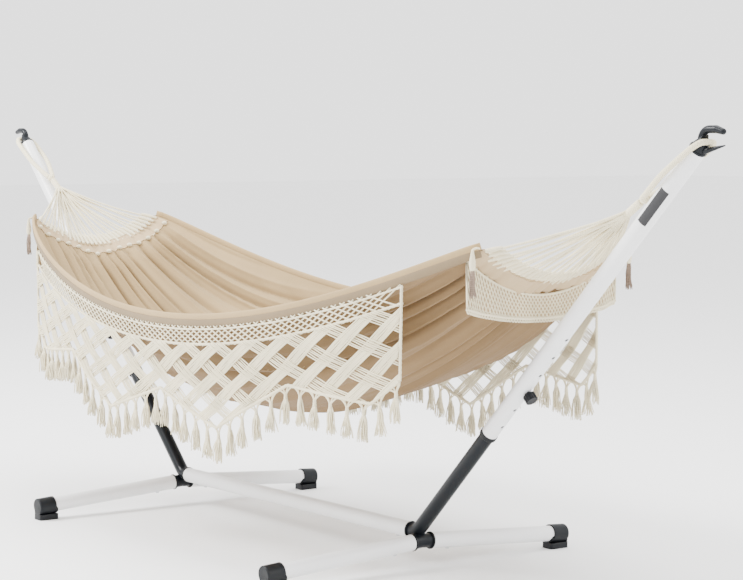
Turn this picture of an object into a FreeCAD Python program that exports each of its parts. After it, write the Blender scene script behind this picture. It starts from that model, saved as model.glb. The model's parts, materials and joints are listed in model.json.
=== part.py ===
"""Garden hammock on a two-armed tubular stand, modelled in millimetres.

+Z is up, X runs along the base bar and Y across it. The origin is on the floor, under the middle of the
bar. Pieces of the two ends are drawn at the +X end, called right, and mirrored to the -X end, called left.
"""

import os

import FreeCAD
import Part

from math import atan2, cos, pi, radians, sin, sqrt, tan

V = FreeCAD.Vector

# Tubes of the stand
OUTER_D = 45.0  # bar, legs and upper arms
OUTER_WALL = 1.5
INNER_WALL = 2.0  # end frames, which the outer tubes slide over
TUBE_GAP = 1.0  # between the two tubes, on the radius
BEND_SPACING = 1252.0  # between the two bends, along the bar
ARM_ANGLE = 44.6  # arms above the floor, in degrees
BEND_RADIUS = 60.0
BAR_HEIGHT = 99.0  # axis of the bar above the floor
BAR_GAP = 31.0  # from each bend to the bar's mouth
BAR_OVERLAP = 120.0  # inner tube inside the bar

# Legs and feet
CROSS_HEIGHT = 75.0  # axis of the cross stub at its middle
CROSS_OUT = 16.0  # cross stub outboard of the bend
LEG_MOUTH = 33.0  # from the middle to a leg's mouth, along the leg
LEG_OVERLAP = 110.0  # cross stub inside a leg
FOOT_REACH = 522.0  # from the middle to the foot's end face
FOOT_HEIGHT = 40.0  # axis of the leg there
FOOT_WALL = 4.0
FOOT_LENGTH = 55.0
FOOT_END_WALL = 5.0
PAD_LENGTH = 64.0
PAD_WIDTH = 44.0
PAD_ROUND = 6.0

# Collars that close the gap between two tubes
COLLAR_PROUD = 2.0  # outside the outer tube, on the radius
COLLAR_FLANGE = 6.0
COLLAR_SLEEVE = 24.0

# Upper arms, their holes and knobs
ARM_MOUTH = 443.0  # from the bend to the upper arm's mouth
ARM_TUBE = 1069.0  # length of the upper arm
ARM_OVERLAP = 360.0  # inner tube inside the upper arm
HOLE_FIRST = 51.0
HOLE_PITCH = 71.0
HOLE_COUNT = 6
HOLE_D = 10.0
KNOB_HOLE = 2  # the knob is in this hole, counted from 0 at the mouth
KNOB_D = 34.0
KNOB_LENGTH = 21.0
KNOB_NECK_D = 18.0
KNOB_NECK = 5.0
KNOB_GRIPS = 8
KNOB_GRIP_D = 9.0
SCREW_D = 8.0
SCREW_IN_KNOB = 12.0
NUT_D = 15.0
NUT_LENGTH = 8.0
BUSH_PROUD = 1.75  # outside the outer tube, on the radius
BUSH_LIP = 14.0
BUSH_SLEEVE = 30.0
GLIDE_LENGTH = 18.0

# Badge on the right arm
BADGE_LENGTH = 114.0
BADGE_WIDTH = 26.0
BADGE_THICK = 0.5
BADGE_DROP = 186.0  # below the tube's top, to the badge's middle
BADGE_TURN = 20.0  # from the front towards the underside, in degrees

# Tube screws
TUBE_SCREW_D = 6.0
TUBE_SCREW_HEAD_D = 11.0
TUBE_SCREW_HEAD = 3.5
TUBE_SCREW_LENGTH = 16.0
TUBE_SCREW_IN = 60.0  # from the tube's mouth

# Hooks, placed from the middle of the tube's top
HOOK_OUT = 39.0
HOOK_UP = 23.0
THROAT_R = 16.5
HORN_R = 9.5
HORN_RUN = 22.0  # straight part over the throat
HORN_TIP = 22.0  # last part, which droops
HORN_DROOP = 14.0  # degrees
HOOK_CAP_PROUD = 1.0  # outside the outer tube, on the radius
HOOK_CAP = 7.0
HOOK_PLUG = 40.0
HOOK_SHOULDER_R = 11.0
LIP_LENGTH = 50.0
LIP_RISE = 5.0
LIP_R = 8.0
LIP_TIP_R = 1.6

# Hammock
HANG_ANGLE = 33.0  # of the end cords below the horizontal
ROPE_D = 16.0
KNOT_CLEAR = 5.3  # from a loop's knot to the arm below it
CORD_LENGTH = 400.0  # from the loop's end to the bed
WHIP_D = 22.0
WHIP_LENGTH = 60.0
KNOT_R = 13.0
BED_DEPTH = 440.0  # from the bed's ends down to its middle, on the centre line
CLOTH = 5.0
MID_HALF = 450.0
MID_RISE = 290.0  # side edges above the centre line
END_HALF = 235.0
END_RISE = 90.0
SPANS = 12  # lofted spans between the two end strips
STRIP_WIDTH = 42.0
STRIP_THICK = 5.0
VALANCE_DEPTH = 80.0
HEM_WIDTH = 12.0
HEM_HEIGHT = 16.0
FRINGE_DEPTH = 390.0
FRINGE_SKIP = 3  # spans of the bed left bare at each end
FRINGE_THICK = 5.0
TASSEL_D = 26.0
TASSEL_LENGTH = 120.0
TASSEL_HEAD_R = 9.0

# Clearances
FIT = 0.1  # between pieces that are pushed together
RUN = 0.3  # between pieces that move against each other
SOFT = 1.0  # between fabric or rope and its neighbours
ROPE_SLACK = OUTER_D / 10 - 3  # beside the hook's cap, and again beside its horn

# Worked-out places
OUTER_R = OUTER_D / 2
BORE_R = OUTER_R - OUTER_WALL
INNER_R = BORE_R - TUBE_GAP
FOOT_D = OUTER_D + 2 * FOOT_WALL
COLLAR_D = OUTER_D + 2 * COLLAR_PROUD
BUSH_D = OUTER_D + 2 * BUSH_PROUD
HOOK_CAP_D = OUTER_D + 2 * HOOK_CAP_PROUD
BEND_X = BEND_SPACING / 2
CROSS_X = BEND_X + CROSS_OUT
A = radians(ARM_ANGLE)
ALONG = V(cos(A), 0, sin(A))  # up the right arm
UNDER = V(sin(A), 0, -cos(A))  # out of the right arm's underside
BEND = V(BEND_X, 0, BAR_HEIGHT)
ARM_TOP = BEND + ALONG * (ARM_MOUTH + ARM_TUBE)
THROAT = ARM_TOP + V(HOOK_OUT, 0, HOOK_UP)
LEG_DROP = atan2(CROSS_HEIGHT - FOOT_HEIGHT, FOOT_REACH)
LEG_LENGTH = FOOT_REACH / cos(LEG_DROP)
HANG = V(-cos(radians(HANG_ANGLE)), 0, -sin(radians(HANG_ANGLE)))
ROPE_R = ROPE_D / 2
BIGHT = THROAT + HANG * (THROAT_R - ROPE_R - SOFT)  # middle of the rope in the hook
EYE_HALF = HOOK_CAP_D / 2 + ROPE_R + ROPE_SLACK  # half width of the loop beside the tube
EYE_NECK = HORN_R + ROPE_R + SOFT + ROPE_SLACK  # half width of the loop beside the hook
KNOT_LIFT = OUTER_R + KNOT_R + KNOT_CLEAR + UNDER.dot(BIGHT - BEND)  # gained over the arm along the loop
EYE_LENGTH = KNOT_LIFT / sin(A - radians(HANG_ANGLE))  # from the hook to where the two legs meet
CROTCH = BIGHT + HANG * EYE_LENGTH
BED_END = CROTCH + HANG * CORD_LENGTH
ACROSS = V(0, 1, 0)


def cylinder(radius, length, base, axis):
    return Part.makeCylinder(radius, length, base, axis)


def tube(outer_r, inner_r, length, base, axis):
    return cylinder(outer_r, length, base, axis).cut(cylinder(inner_r, length, base, axis))


def mirrored(shape):
    """The same piece at the left end."""
    return shape.mirror(V(0, 0, 0), V(1, 0, 0))


def to_rear(shape):
    """The same piece behind the bar."""
    return shape.mirror(V(0, 0, 0), V(0, 1, 0))


def save(name, shape):
    solids = shape.Solids
    whole = solids[0] if len(solids) == 1 else Part.makeCompound(solids)
    if not whole.isValid() or whole.Volume <= 0:
        raise ValueError("bad solid: " + name)
    whole.exportStep("parts/" + name + ".step")
    print(f"{name}: {len(solids)} solid(s), {whole.Volume / 1000:.1f} cm3")


def save_pair(name, shape):
    save(name + "_right", shape)
    save(name + "_left", mirrored(shape))


def leg_point(distance):
    """A point on the front right leg's axis, this far from the middle of the cross stub."""
    return V(CROSS_X, -distance * cos(LEG_DROP), CROSS_HEIGHT - distance * sin(LEG_DROP))


def leg_axis():
    return V(0, -cos(LEG_DROP), -sin(LEG_DROP))


def leg_down():
    """Out of the leg's underside, at right angles to it."""
    return V(0, sin(LEG_DROP), -cos(LEG_DROP))


def bent_path():
    """Centre line of the lower arm: along the bar, round the bend and up into the upper arm."""
    tangent = BEND_RADIUS * tan(A / 2)
    first = V(BEND_X - BAR_GAP - BAR_OVERLAP, 0, BAR_HEIGHT)
    before = BEND - V(tangent, 0, 0)
    after = BEND + ALONG * tangent
    centre = before + V(0, 0, BEND_RADIUS)
    middle = centre + V(sin(A / 2), 0, -cos(A / 2)) * BEND_RADIUS
    last = BEND + ALONG * (ARM_MOUTH + ARM_OVERLAP)
    bend = Part.Arc(before, middle, after)
    edges = [Part.LineSegment(first, before), bend, Part.LineSegment(after, last)]
    return Part.Wire([edge.toShape() for edge in edges])


def swept(path, radius, start, direction):
    section = Part.Wire([Part.makeCircle(radius, start, direction)])
    return path.makePipeShell([section], True, False)


def arm_point(distance):
    return BEND + ALONG * distance


def knob_place():
    """On the arm's axis, in line with the knob."""
    return arm_point(ARM_MOUTH + HOLE_FIRST + KNOB_HOLE * HOLE_PITCH)


def end_frame():
    """Bent lower arm with the kinked cross stub welded under its bend."""
    path = bent_path()
    start = path.Vertexes[0].Point
    stub_length = LEG_MOUTH + LEG_OVERLAP
    centre = V(CROSS_X, 0, CROSS_HEIGHT)

    def filled(radius):
        stub = cylinder(radius, stub_length, centre, leg_axis())
        return [stub, to_rear(stub), Part.makeSphere(radius, centre)]

    bore = INNER_R - INNER_WALL
    frame = swept(path, INNER_R, start, V(1, 0, 0)).multiFuse(filled(INNER_R))
    for hollow in [swept(path, bore, start, V(1, 0, 0))] + filled(bore):
        frame = frame.cut(hollow)
    frame = frame.cut(cylinder(SCREW_D / 2 + FIT, OUTER_R, knob_place(), UNDER))
    for screw in (leg_screw_hole(), to_rear(leg_screw_hole()), bar_screw_hole()):
        frame = frame.cut(screw)
    return frame


def collar(mouth, axis):
    """Ring between two tubes. Its flange lies on the outer tube's mouth, outside it, and axis points in."""
    flange = tube(COLLAR_D / 2, INNER_R + FIT, COLLAR_FLANGE, mouth - axis * COLLAR_FLANGE, axis)
    edges = [edge for edge in flange.Edges if edge.Length > pi * (COLLAR_D - 1)]
    flange = flange.makeFillet(COLLAR_FLANGE / 3, edges)
    return flange.fuse(tube(BORE_R - FIT, INNER_R + FIT, COLLAR_SLEEVE, mouth, axis))


def leg_screw_hole():
    base = leg_point(LEG_MOUTH + TUBE_SCREW_IN)
    return cylinder(TUBE_SCREW_D / 2 + FIT, OUTER_R * 2, base, leg_down())


def bar_screw_hole():
    base = V(BEND_X - BAR_GAP - TUBE_SCREW_IN, 0, BAR_HEIGHT)
    return cylinder(TUBE_SCREW_D / 2 + FIT, OUTER_R * 2, base, V(0, 0, -1))


def tube_screw(axis_point, direction):
    """Round-headed screw through an outer tube into the inner one, head outside."""
    seat = axis_point + direction * (OUTER_R + FIT)
    shank = cylinder(TUBE_SCREW_D / 2, TUBE_SCREW_LENGTH, seat, direction * -1)
    head = cylinder(TUBE_SCREW_HEAD_D / 2, TUBE_SCREW_HEAD, seat, direction)
    edges = [edge for edge in head.Edges if edge.Length > 1 and edge.CenterOfMass.distanceToPoint(seat) > 3]
    rim = [edge for edge in edges if abs(edge.Length - pi * TUBE_SCREW_HEAD_D) < 0.1]
    return head.makeFillet(TUBE_SCREW_HEAD / 2, rim).fuse(shank)


def base_bar():
    half = BEND_X - BAR_GAP
    bar = tube(OUTER_R, BORE_R, 2 * half, V(-half, 0, BAR_HEIGHT), V(1, 0, 0))
    return bar.cut(bar_screw_hole()).cut(mirrored(bar_screw_hole()))


def leg():
    length = LEG_LENGTH - FOOT_END_WALL - LEG_MOUTH
    return tube(OUTER_R, BORE_R, length, leg_point(LEG_MOUTH), leg_axis()).cut(leg_screw_hole())


def foot_cap():
    """Cup over the leg's end, on a flat pad that runs further in."""
    cup = cylinder(FOOT_D / 2, FOOT_LENGTH, leg_point(LEG_LENGTH), leg_axis() * -1)
    outer_rim = [e for e in cup.Edges if e.CenterOfMass.y < -FOOT_REACH + 2 and e.Length > pi * FOOT_D - 1]
    cup = cup.makeFillet(FOOT_END_WALL * 0.8, outer_rim)
    corner = V(CROSS_X - PAD_WIDTH / 2, -FOOT_REACH, 0)
    pad = Part.makeBox(PAD_WIDTH, PAD_LENGTH, FOOT_HEIGHT, corner)
    upright = [edge for edge in pad.Edges if abs(edge.tangentAt(0).z) > 0.9]
    pad = pad.makeFillet(PAD_ROUND, upright)
    low = cylinder(FOOT_D / 2, PAD_LENGTH * 2, leg_point(LEG_LENGTH + PAD_LENGTH / 2), leg_axis() * -1)
    pad = pad.common(low.fuse(Part.makeBox(PAD_WIDTH, PAD_LENGTH, FOOT_HEIGHT - OUTER_R, corner)))
    bore = cylinder(OUTER_R + FIT, PAD_LENGTH * 2, leg_point(LEG_LENGTH - FOOT_END_WALL), leg_axis() * -1)
    return cup.fuse(pad).cut(bore)


def upper_arm():
    arm = tube(OUTER_R, BORE_R, ARM_TUBE, arm_point(ARM_MOUTH), ALONG)
    for number in range(HOLE_COUNT):
        place = arm_point(ARM_MOUTH + HOLE_FIRST + number * HOLE_PITCH)
        arm = arm.cut(cylinder(HOLE_D / 2, OUTER_R * 2, place, UNDER))
    return arm


def arm_bushing():
    """Lipped plastic bush in the upper arm's mouth, which slides on the inner tube."""
    lip = tube(BUSH_D / 2, INNER_R + RUN, BUSH_LIP, arm_point(ARM_MOUTH - BUSH_LIP), ALONG)
    rims = [edge for edge in lip.Edges if edge.Length > pi * (BUSH_D - 1)]
    lip = lip.makeFillet(BUSH_LIP / 8, rims)
    return lip.fuse(tube(BORE_R - FIT, INNER_R + RUN, BUSH_SLEEVE, arm_point(ARM_MOUTH), ALONG))


def arm_glide():
    """Plug on the inner tube's top end, which keeps the upper arm centred."""
    top = arm_point(ARM_MOUTH + ARM_OVERLAP)
    plug = cylinder(INNER_R - INNER_WALL - FIT, GLIDE_LENGTH, top - ALONG * GLIDE_LENGTH, ALONG)
    return plug.fuse(cylinder(BORE_R - RUN, GLIDE_LENGTH / 2, top, ALONG))


def arm_nut():
    """Round nut inside the inner tube, in line with the knob."""
    base = knob_place() + UNDER * (INNER_R - INNER_WALL - NUT_LENGTH - FIT)
    nut = tube(NUT_D / 2, SCREW_D / 2 + FIT, NUT_LENGTH, base, UNDER)
    return nut.common(cylinder(INNER_R - INNER_WALL - FIT, NUT_D * 2, knob_place() - ALONG * NUT_D, ALONG))


def knob():
    seat = knob_place() + UNDER * (OUTER_R + RUN)
    neck = cylinder(KNOB_NECK_D / 2, KNOB_NECK + 1, seat, UNDER)
    body = cylinder(KNOB_D / 2, KNOB_LENGTH, seat + UNDER * KNOB_NECK, UNDER)
    body = body.makeFillet(2.5, [edge for edge in body.Edges if edge.Length > pi * (KNOB_D - 1)])
    for number in range(KNOB_GRIPS):
        turn = 2 * pi * number / KNOB_GRIPS
        side = ALONG * cos(turn) + ACROSS * sin(turn)
        groove = seat + side * (KNOB_D / 2 + KNOB_GRIP_D / 4)
        body = body.cut(cylinder(KNOB_GRIP_D / 2, KNOB_NECK + KNOB_LENGTH + 1, groove, UNDER))
    socket = cylinder(SCREW_D / 2 + FIT, KNOB_NECK + SCREW_IN_KNOB, seat, UNDER)
    return neck.fuse(body).cut(socket)


def knob_screw():
    """Threaded stud of the knob, backed off to just above the inner tube."""
    start = knob_place() + UNDER * (INNER_R + RUN)
    length = OUTER_R - INNER_R + KNOB_NECK + SCREW_IN_KNOB
    return cylinder(SCREW_D / 2, length, start, UNDER)


def badge():
    """Blank curved plate on the right arm's front."""
    turn = radians(BADGE_TURN)
    facing = UNDER * sin(turn) - ACROSS * cos(turn)
    side = ALONG.cross(facing)
    base = ARM_TOP - ALONG * (BADGE_DROP + BADGE_LENGTH / 2)
    half = BADGE_WIDTH / (2 * OUTER_R)

    def at(radius, angle):
        return base + facing * (radius * cos(angle)) + side * (radius * sin(angle))

    low, high = OUTER_R + FIT, OUTER_R + FIT + BADGE_THICK
    edges = [
        Part.Arc(at(low, -half), at(low, 0), at(low, half)).toShape(),
        Part.makeLine(at(low, half), at(high, half)),
        Part.Arc(at(high, half), at(high, 0), at(high, -half)).toShape(),
        Part.makeLine(at(high, -half), at(low, -half)),
    ]
    return Part.Face(Part.Wire(edges)).extrude(ALONG * BADGE_LENGTH)


def horn():
    """Round bar over the throat: from the shoulder round the back, over the top and out to a round end."""
    radius = THROAT_R + HORN_R
    foot = THROAT + V(-cos(radians(25)), 0, -sin(radians(25))) * radius
    back = THROAT + V(-cos(radians(32)), 0, sin(radians(32))) * radius
    top = THROAT + V(0, 0, radius)
    over = top + V(HORN_RUN, 0, 0)
    droop = V(cos(radians(HORN_DROOP)), 0, -sin(radians(HORN_DROOP)))
    tip = over + droop * HORN_TIP
    bar = Part.Wire([Part.Arc(foot, back, top).toShape(), Part.makeLine(top, over)])
    start = V(-sin(radians(25)), 0, cos(radians(25)))
    shape = swept(bar, HORN_R, foot, start)
    taper = Part.makeCone(HORN_R, HORN_R * 0.8, HORN_TIP, over, droop)
    return shape.multiFuse([Part.makeSphere(HORN_R, over), taper, Part.makeSphere(HORN_R * 0.8, tip)])


def hook():
    """Plug, cap and shoulder on the upper arm, with a horn over the throat and a pointed lip under it."""
    plug = cylinder(BORE_R - FIT, HOOK_PLUG, ARM_TOP - ALONG * HOOK_PLUG, ALONG)
    cap = cylinder(HOOK_CAP_D / 2, HOOK_CAP, ARM_TOP, ALONG)
    cap = cap.makeFillet(2, [edge for edge in cap.Edges if edge.Length > pi * (HOOK_CAP_D - 1)])
    rise = THROAT - ARM_TOP
    shoulder_length = rise.dot(ALONG) - HOOK_CAP + 1
    shoulder_base = ARM_TOP + ALONG * (HOOK_CAP - 1)
    shoulder = Part.makeCone(HOOK_CAP_D / 2 - 2, HOOK_SHOULDER_R, shoulder_length, shoulder_base, ALONG)
    lip_base = THROAT - V(THROAT_R * 0.9, 0, THROAT_R + LIP_R)
    lip_tip = THROAT + V(LIP_LENGTH, 0, LIP_RISE - THROAT_R)
    lip_line = lip_tip - lip_base
    lip = Part.makeCone(LIP_R, LIP_TIP_R, lip_line.Length, lip_base, lip_line)
    solid = plug.multiFuse([cap, shoulder, lip, Part.makeSphere(LIP_R, lip_base)])
    solid = solid.cut(cylinder(THROAT_R, HOOK_CAP_D, THROAT - ACROSS * (HOOK_CAP_D / 2), ACROSS))
    corner = THROAT - V(0, HOOK_CAP_D / 2, THROAT_R * 0.6)
    clear = Part.makeBox(THROAT_R * 4, HOOK_CAP_D, THROAT_R * 2, corner)
    return solid.cut(clear).fuse(horn())


def rounded_path(points, radii):
    """Straight runs through the points, with a tangent arc of each radius at the points between."""
    edges = []
    last = points[0]
    for before, corner, after, radius in zip(points, points[1:], points[2:], radii):
        into = (corner - before).normalize()
        out = (after - corner).normalize()
        turn = into.getAngle(out)
        reach = radius * tan(turn / 2)
        first, second = corner - into * reach, corner + out * reach
        towards = (out - into).normalize()
        middle = corner + towards * (radius / cos(turn / 2) - radius)
        edges += [Part.makeLine(last, first), Part.Arc(first, middle, second).toShape()]
        last = second
    edges.append(Part.makeLine(last, points[-1]))
    return Part.Wire(edges)


def loop():
    """Rope eye over the hook: a bight in the throat and two legs past the tube's sides to a knot."""

    def place(down, side):
        return BIGHT + HANG * down + ACROSS * side

    meet = ROPE_R + SOFT / 2
    straight, low = HOOK_CAP_D * 0.6, EYE_LENGTH * 0.6
    half = [(EYE_LENGTH - KNOT_R / 2, meet), (low, EYE_HALF), (straight, EYE_HALF), (0, EYE_NECK)]
    points = [place(down, side) for down, side in half]
    points += [place(down, -side) for down, side in reversed(half)]
    radii = [120.0, 40.0, EYE_NECK * 0.6, EYE_NECK * 0.6, 40.0, 120.0]
    path = rounded_path(points, radii)
    rope = swept(path, ROPE_R, points[0], points[1] - points[0])
    expected = pi * ROPE_R**2 * path.Length
    print(f"loop rope volume {rope.Volume / expected:.3f} of section times length")
    return rope.fuse(Part.makeSphere(KNOT_R, CROTCH))


def whipping():
    """Bound stem that gathers the end cords under the loop's knot."""
    return cylinder(WHIP_D / 2, WHIP_LENGTH, CROTCH + HANG * (KNOT_R + SOFT), HANG)


def bowl(x, half, floor_z, rise, thick):
    """Closed upright U section across the hammock at x, thick downwards."""

    def arc(drop):
        side_z, middle_z = floor_z + rise - drop, floor_z - drop
        return [V(x, -half, side_z), V(x, 0, middle_z), V(x, half, side_z)]

    inner, outer = arc(0), arc(thick)
    edges = [
        Part.Arc(*inner).toShape(),
        Part.makeLine(inner[2], outer[2]),
        Part.Arc(*reversed(outer)).toShape(),
        Part.makeLine(outer[0], inner[0]),
    ]
    return Part.Wire(edges)


def end_cords():
    """The fan of cords as one thin closed solid, from the whipping to the bed's end."""
    top = CROTCH + HANG * (KNOT_R + WHIP_LENGTH + 2 * SOFT)
    narrow = bowl(top.x, WHIP_D * 0.4, top.z - CLOTH, CLOTH * 0.6, CLOTH * 1.5)
    wide = bowl(BED_END.x + SOFT, END_HALF, BED_END.z, END_RISE, CLOTH)
    return Part.makeLoft([narrow, wide], True, True)


def strip_share():
    """Where the end strip stops, as a share of the bed's half length."""
    return 1 - STRIP_WIDTH / BED_END.x


def stations():
    """Places along the bed as shares of its half length: both ends, and between the end strips."""
    inner = [strip_share() * sin(pi / 2 * (2 * number / SPANS - 1)) for number in range(SPANS + 1)]
    return [-1.0] + inner + [1.0]


def centre_z(share):
    return BED_END.z - BED_DEPTH + BED_DEPTH * share**2


def half_width(share):
    return END_HALF + (MID_HALF - END_HALF) * sqrt(max(0.0, 1 - share**2)) ** 1.5


def edge_rise(share):
    return END_RISE + (MID_RISE - END_RISE) * (1 - share**2)


def cloth_section(share, drop, thick):
    """U section of the bed at a share of its half length, lowered by drop."""
    half = half_width(share) - HEM_WIDTH / 2 - SOFT
    return bowl(share * BED_END.x, half, centre_z(share) - drop, edge_rise(share), thick)


def bed_cloth():
    return Part.makeLoft([cloth_section(share, 0, CLOTH) for share in stations()], True, True)


def edge_strip(width, inner_offset, top_offset, depth, skip=0):
    """Upright strip of this width and depth that follows the front edge of the bed."""
    places = stations()
    sections = []
    for share in places[skip : len(places) - skip]:
        y = -(half_width(share) + inner_offset)
        z = centre_z(share) + edge_rise(share) + top_offset
        x = share * BED_END.x
        outer, low = y - width, z - depth
        corners = [V(x, y, z), V(x, outer, z), V(x, outer, low), V(x, y, low), V(x, y, z)]
        sections.append(Part.makePolygon(corners))
    return Part.makeLoft(sections, True, True)


def hem():
    """Corded hem along the front edge."""
    return edge_strip(HEM_WIDTH, -HEM_WIDTH / 2, HEM_HEIGHT / 2, HEM_HEIGHT)


def fringe():
    """Knotted fringe that hangs from the front hem."""
    return edge_strip(FRINGE_THICK, 0, -HEM_HEIGHT / 2 - FIT, FRINGE_DEPTH, FRINGE_SKIP)


def end_strip():
    """Band of strong cloth that the cords are tied into, under the bed's end."""
    sections = [cloth_section(share, CLOTH + FIT, STRIP_THICK) for share in (strip_share(), 1.0)]
    return Part.makeLoft(sections, True, True)


def end_valance():
    """Netted edging that hangs under the inner edge of the end strip."""
    low = cloth_section(strip_share(), CLOTH + STRIP_THICK + 2 * FIT, VALANCE_DEPTH)
    return Part.Face(low).extrude(V(STRIP_THICK, 0, 0))


def tassel(side):
    """Corner tassel, hung just outside the end of the hem."""
    out = END_HALF + HEM_WIDTH + TASSEL_D / 2 + SOFT
    top = V(BED_END.x, side * out, BED_END.z + END_RISE)
    neck = top - V(0, 0, TASSEL_HEAD_R * 0.7)
    skirt = Part.makeCone(TASSEL_D / 4, TASSEL_D / 2, TASSEL_LENGTH, neck, V(0, 0, -1))
    return Part.makeSphere(TASSEL_HEAD_R, top).fuse(skirt)


def build():
    os.makedirs("parts", exist_ok=True)
    down = V(0, 0, -1)
    bar_screw = tube_screw(V(BEND_X - BAR_GAP - TUBE_SCREW_IN, 0, BAR_HEIGHT), down)
    leg_screw = tube_screw(leg_point(LEG_MOUTH + TUBE_SCREW_IN), leg_down())
    leg_screws = [leg_screw, to_rear(leg_screw)]
    leg_screws += [mirrored(screw) for screw in leg_screws]
    save("base_bar", base_bar())
    save("bar_screws", Part.makeCompound([bar_screw, mirrored(bar_screw)]))
    save("leg_screws", Part.makeCompound(leg_screws))
    save_pair("end_frame", end_frame())
    save_pair("bar_collar", collar(V(BEND_X - BAR_GAP, 0, BAR_HEIGHT), V(-1, 0, 0)))
    leg_collar = collar(leg_point(LEG_MOUTH), leg_axis())
    for name, shape in (("leg", leg()), ("foot_cap", foot_cap()), ("leg_collar", leg_collar)):
        save_pair(name + "_front", shape)
        save_pair(name + "_rear", to_rear(shape))
    save_pair("upper_arm", upper_arm())
    save_pair("arm_bushing", arm_bushing())
    save_pair("arm_glide", arm_glide())
    save_pair("arm_nut", arm_nut())
    save_pair("knob", knob())
    save_pair("knob_screw", knob_screw())
    save_pair("hook", hook())
    save("badge", badge())
    save_pair("loop", loop())
    save_pair("whipping", whipping())
    save_pair("end_cords", end_cords())
    save("bed_cloth", bed_cloth())
    save("hem_front", hem())
    save("hem_rear", to_rear(hem()))
    save("fringe_front", fringe())
    save("fringe_rear", to_rear(fringe()))
    save_pair("end_strip", end_strip())
    save_pair("end_valance", end_valance())
    save_pair("tassel_front", tassel(-1))
    save_pair("tassel_rear", tassel(1))


build()
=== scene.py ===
"""Cloth, cords, macrame and finishes of a garden hammock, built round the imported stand."""

import json
import math

import bpy
import numpy as np
from bpy.props import FloatProperty, FloatVectorProperty, IntProperty, PointerProperty
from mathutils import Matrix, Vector


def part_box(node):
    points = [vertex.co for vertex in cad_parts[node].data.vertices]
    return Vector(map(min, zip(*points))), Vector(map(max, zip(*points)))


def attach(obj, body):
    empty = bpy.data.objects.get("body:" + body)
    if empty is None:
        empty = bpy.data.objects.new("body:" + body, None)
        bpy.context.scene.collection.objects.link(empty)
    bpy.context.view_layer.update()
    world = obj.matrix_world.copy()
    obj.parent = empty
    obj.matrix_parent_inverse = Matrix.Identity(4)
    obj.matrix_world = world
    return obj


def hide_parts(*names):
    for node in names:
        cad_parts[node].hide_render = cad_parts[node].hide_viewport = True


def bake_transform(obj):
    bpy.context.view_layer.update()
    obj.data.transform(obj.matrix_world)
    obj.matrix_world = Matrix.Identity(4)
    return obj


bl_info = {
    "name": "Hammock on Stand",
    "version": (1, 0, 0),
    "blender": (4, 5, 0),
    "location": "View3D > Sidebar > Hammock",
    "description": "Builds the soft parts and finishes of a fringed hammock on its tubular stand",
    "category": "Add Mesh",
}

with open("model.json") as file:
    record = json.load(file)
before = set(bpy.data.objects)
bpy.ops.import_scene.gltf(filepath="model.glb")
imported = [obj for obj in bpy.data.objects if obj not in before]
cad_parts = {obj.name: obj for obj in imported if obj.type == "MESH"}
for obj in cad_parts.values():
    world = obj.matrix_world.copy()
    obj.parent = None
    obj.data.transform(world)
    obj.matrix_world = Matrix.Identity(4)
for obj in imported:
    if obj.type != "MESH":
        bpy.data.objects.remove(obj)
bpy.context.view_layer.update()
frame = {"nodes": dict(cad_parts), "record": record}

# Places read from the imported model, in metres
BED_LOW, BED_HIGH = (np.array(corner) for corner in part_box("bed_cloth"))
STRIP_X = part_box("end_strip_right")[0][0]
FRINGE_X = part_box("fringe_front")[1][0]
HEM_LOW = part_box("hem_front")[0]
MOUNTS = {mount["name"]: np.array(mount["pos_m"]) for mount in frame["record"]["mounts"]}
JOINTS = {joint["name"]: joint for joint in frame["record"]["behaviour"]["joints"]}
THROAT = MOUNTS["hook_throat_right"]
CROTCH = np.array(JOINTS["hammock_swing"]["pos_m"])
HANG = (CROTCH - THROAT) / np.linalg.norm(CROTCH - THROAT)
SIDES = {"front": -1.0, "rear": 1.0}
ENDS = {"right": 1.0, "left": -1.0}

# The bed's plain shape, the same as its solid's
CLOTH_SOLID = 0.005
END_RISE = 0.09
HEM_HALF = 0.006
EDGE_GAP = HEM_HALF + 0.001
END_HALF = 0.235
MID_HALF = BED_HIGH[1] + EDGE_GAP
BED_X = BED_HIGH[0]
MID_Z = BED_LOW[2] + CLOTH_SOLID
END_Z = BED_HIGH[2] - END_RISE
MID_RISE = HEM_LOW[2] + 0.008 - MID_Z
TAU = 2 * math.pi


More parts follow.
